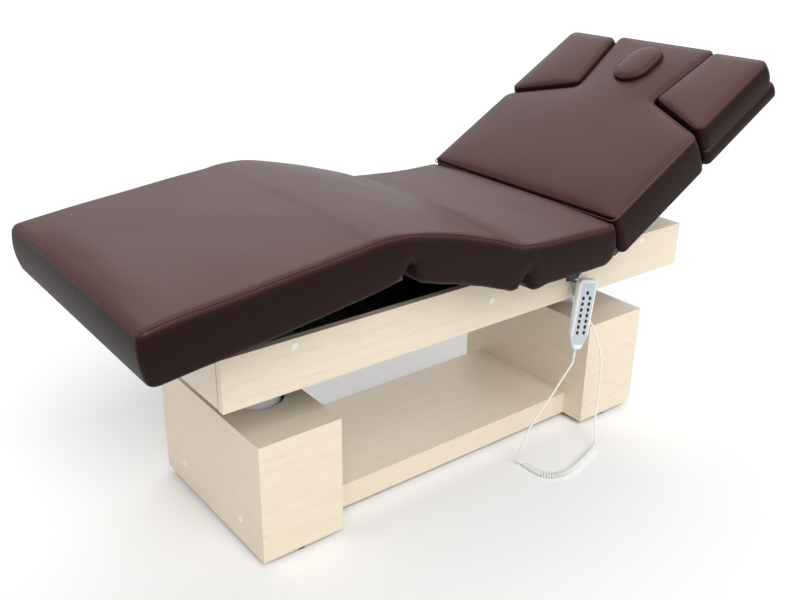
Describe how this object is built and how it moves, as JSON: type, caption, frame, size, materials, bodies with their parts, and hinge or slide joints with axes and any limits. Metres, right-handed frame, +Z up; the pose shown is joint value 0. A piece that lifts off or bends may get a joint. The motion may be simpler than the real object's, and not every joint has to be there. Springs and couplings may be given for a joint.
{
  "type": "facial treatment bed",
  "caption": "Powered facial and massage bed with wooden plinths, lift columns, a folding padded top, lift-off arm pads and a wired handset.",
  "frame": {"origin": "on the floor under the middle of the bed's length and width", "axes": "+X towards the head end, +Z up, +Y to the far side, away from the handset"},
  "size_m": [2.0479, 0.826, 1.1043],
  "materials": {
    "pale_laminate": "satin laminate with a faint straight grain",
    "plywood": "bare plywood",
    "brown_leather": "soft, fine grained, slightly glossy",
    "black_rubber": "matt",
    "pale_paint": "smooth powder coat",
    "black_housing": "fine texture",
    "black_bracket": "satin",
    "white_plastic": "smooth",
    "grey_plastic": "smooth membrane",
    "grey_rubber": "matt, ribbed",
    "black_plastic": "soft touch",
    "white_cord": "smooth",
    "dark_steel": "powder coat"
  },
  "bodies": {
    "base": {"plinth_foot": "pale_laminate", "plinth_head": "pale_laminate", "stretcher": "pale_laminate", "base_beam": "dark_steel", "levelling_feet": "black_rubber", "columns_lower": "dark_steel"},
    "column_foot_middle": {"column_foot_middle": "dark_steel"},
    "column_head_middle": {"column_head_middle": "dark_steel"},
    "frame": {"columns_upper": "pale_paint", "side_rail_near": "pale_laminate", "side_rail_far": "pale_laminate", "frame_panels": "pale_laminate", "long_tubes": "dark_steel", "cross_beams": "dark_steel", "hinge_rods": "dark_steel", "seat_board": "plywood", "seat_pad": "brown_leather", "seat_thigh_foam": "brown_leather", "back_seat_foam": "brown_leather", "drives": "black_housing", "control_box": "black_housing", "handset_holder": "black_bracket", "cord_gland": "grey_rubber", "cord_lower": "white_cord", "cord_coil": "white_cord", "cord_upper": "white_cord"},
    "thigh": {"thigh_bars": "dark_steel", "thigh_board": "plywood", "thigh_pad": "brown_leather", "knee_foam": "brown_leather"},
    "calf": {"calf_bars": "dark_steel", "calf_board": "plywood", "calf_pad": "brown_leather"},
    "calf_links": {"calf_links": "dark_steel"},
    "leg_drive_rod": {"leg_drive_rod": "dark_steel"},
    "back_drive_rod": {"back_drive_rod": "dark_steel"},
    "back": {"back_bars": "dark_steel", "back_board": "plywood", "back_pad": "brown_leather", "arm_bases": "brown_leather"},
    "arm_pad_near": {"arm_pad_near": "brown_leather"},
    "arm_pad_far": {"arm_pad_far": "brown_leather"},
    "face_plug": {"face_plug": "brown_leather"},
    "handset": {"handset_shell": "white_plastic", "handset_face": "grey_plastic"},
    "button_top": {"button_top": "black_plastic"},
    "button_l1": {"button_l1": "black_plastic"},
    "button_l2": {"button_l2": "black_plastic"},
    "button_l3": {"button_l3": "black_plastic"},
    "button_l4": {"button_l4": "black_plastic"},
    "button_l5": {"button_l5": "black_plastic"},
    "button_l6": {"button_l6": "black_plastic"},
    "button_l7": {"button_l7": "black_plastic"},
    "button_r1": {"button_r1": "black_plastic"},
    "button_r2": {"button_r2": "black_plastic"},
    "button_r3": {"button_r3": "black_plastic"},
    "button_r4": {"button_r4": "black_plastic"},
    "button_r5": {"button_r5": "black_plastic"},
    "button_r6": {"button_r6": "black_plastic"},
    "button_r7": {"button_r7": "black_plastic"}
  },
  "joints": [
    {"name": "lift", "type": "slide", "parent": "base", "child": "frame", "axis": [0, 0, 1], "range_m": [-0.1, 0.2]},
    {"name": "column_foot_stage", "type": "slide", "parent": "base", "child": "column_foot_middle", "axis": [0, 0, 1], "range_m": [-0.0501, 0.1001]},
    {"name": "column_head_stage", "type": "slide", "parent": "base", "child": "column_head_middle", "axis": [0, 0, 1], "range_m": [-0.0501, 0.1001]},
    {"name": "thigh_hinge", "type": "hinge", "parent": "frame", "child": "thigh", "pos_m": [-0.0048, 0, 0.59], "axis": [0, 1, 0], "range_deg": [-17.5, 12.5], "deforming": ["seat_thigh_foam"]},
    {"name": "knee_hinge", "type": "hinge", "parent": "thigh", "child": "calf", "pos_m": [-0.36721, 0, 0.70427], "axis": [0, 1, 0], "range_deg": [-17.1, 23.9], "deforming": ["knee_foam"]},
    {"name": "calf_link_pivot", "type": "hinge", "parent": "frame", "child": "calf_links", "pos_m": [-0.4883, 0, 0.5862], "axis": [0, 1, 0], "range_deg": [-25.6, 18.4]},
    {"name": "leg_drive_slide", "type": "slide", "parent": "frame", "child": "leg_drive_rod", "axis": [-1, 0, 0], "range_m": [-0.0245, 0.0175]},
    {"name": "back_hinge", "type": "hinge", "parent": "frame", "child": "back", "pos_m": [0.3552, 0, 0.588], "axis": [0, -1, 0], "range_deg": [-30.2, 45], "deforming": ["back_seat_foam"]},
    {"name": "back_drive_slide", "type": "slide", "parent": "frame", "child": "back_drive_rod", "axis": [1, 0, 0], "range_m": [-0.0445, 0.066]},
    {"name": "arm_pad_near_lift_off", "type": "slide", "parent": "back", "child": "arm_pad_near", "axis": [-0.503, 0, 0.8643], "range_m": [0, 0.15]},
    {"name": "arm_pad_far_lift_off", "type": "slide", "parent": "back", "child": "arm_pad_far", "axis": [-0.503, 0, 0.8643], "range_m": [0, 0.15]},
    {"name": "face_plug_lift_off", "type": "slide", "parent": "back", "child": "face_plug", "axis": [-0.503, 0, 0.8643], "range_m": [0, 0.15]},
    {"name": "handset_lift_off", "type": "slide", "parent": "frame", "child": "handset", "axis": [0, 0, 1], "range_m": [0, 0.012]},
    {"name": "button_top_press", "type": "slide", "parent": "handset", "child": "button_top", "axis": [0.3398, 0.9397, -0.0387], "range_m": [0, 0.001], "stiffness_N_per_m": 300},
    {"name": "button_l1_press", "type": "slide", "parent": "handset", "child": "button_l1", "axis": [0.3398, 0.9397, -0.0387], "range_m": [0, 0.001], "stiffness_N_per_m": 300},
    {"name": "button_l2_press", "type": "slide", "parent": "handset", "child": "button_l2", "axis": [0.3398, 0.9397, -0.0387], "range_m": [0, 0.001], "stiffness_N_per_m": 300},
    {"name": "button_l3_press", "type": "slide", "parent": "handset", "child": "button_l3", "axis": [0.3398, 0.9397, -0.0387], "range_m": [0, 0.001], "stiffness_N_per_m": 300},
    {"name": "button_l4_press", "type": "slide", "parent": "handset", "child": "button_l4", "axis": [0.3398, 0.9397, -0.0387], "range_m": [0, 0.001], "stiffness_N_per_m": 300},
    {"name": "button_l5_press", "type": "slide", "parent": "handset", "child": "button_l5", "axis": [0.3398, 0.9397, -0.0387], "range_m": [0, 0.001], "stiffness_N_per_m": 300},
    {"name": "button_l6_press", "type": "slide", "parent": "handset", "child": "button_l6", "axis": [0.3398, 0.9397, -0.0387], "range_m": [0, 0.001], "stiffness_N_per_m": 300},
    {"name": "button_l7_press", "type": "slide", "parent": "handset", "child": "button_l7", "axis": [0.3398, 0.9397, -0.0387], "range_m": [0, 0.001], "stiffness_N_per_m": 300},
    {"name": "button_r1_press", "type": "slide", "parent": "handset", "child": "button_r1", "axis": [0.3398, 0.9397, -0.0387], "range_m": [0, 0.001], "stiffness_N_per_m": 300},
    {"name": "button_r2_press", "type": "slide", "parent": "handset", "child": "button_r2", "axis": [0.3398, 0.9397, -0.0387], "range_m": [0, 0.001], "stiffness_N_per_m": 300},
    {"name": "button_r3_press", "type": "slide", "parent": "handset", "child": "button_r3", "axis": [0.3398, 0.9397, -0.0387], "range_m": [0, 0.001], "stiffness_N_per_m": 300},
    {"name": "button_r4_press", "type": "slide", "parent": "handset", "child": "button_r4", "axis": [0.3398, 0.9397, -0.0387], "range_m": [0, 0.001], "stiffness_N_per_m": 300},
    {"name": "button_r5_press", "type": "slide", "parent": "handset", "child": "button_r5", "axis": [0.3398, 0.9397, -0.0387], "range_m": [0, 0.001], "stiffness_N_per_m": 300},
    {"name": "button_r6_press", "type": "slide", "parent": "handset", "child": "button_r6", "axis": [0.3398, 0.9397, -0.0387], "range_m": [0, 0.001], "stiffness_N_per_m": 300},
    {"name": "button_r7_press", "type": "slide", "parent": "handset", "child": "button_r7", "axis": [0.3398, 0.9397, -0.0387], "range_m": [0, 0.001], "stiffness_N_per_m": 300}
  ],
  "couplings": [
    {"joint": "column_foot_stage", "follows": "lift", "ratio": 0.5},
    {"joint": "column_head_stage", "follows": "lift", "ratio": 0.5},
    {"joint": "knee_hinge", "follows": "thigh_hinge", "ratio": -1.36},
    {"joint": "calf_link_pivot", "follows": "thigh_hinge", "ratio": 1.45},
    {"joint": "leg_drive_slide", "follows": "thigh_hinge", "m_per_rad": 0.0793},
    {"joint": "back_drive_slide", "follows": "back_hinge", "m_per_rad": 0.0837}
  ]
}
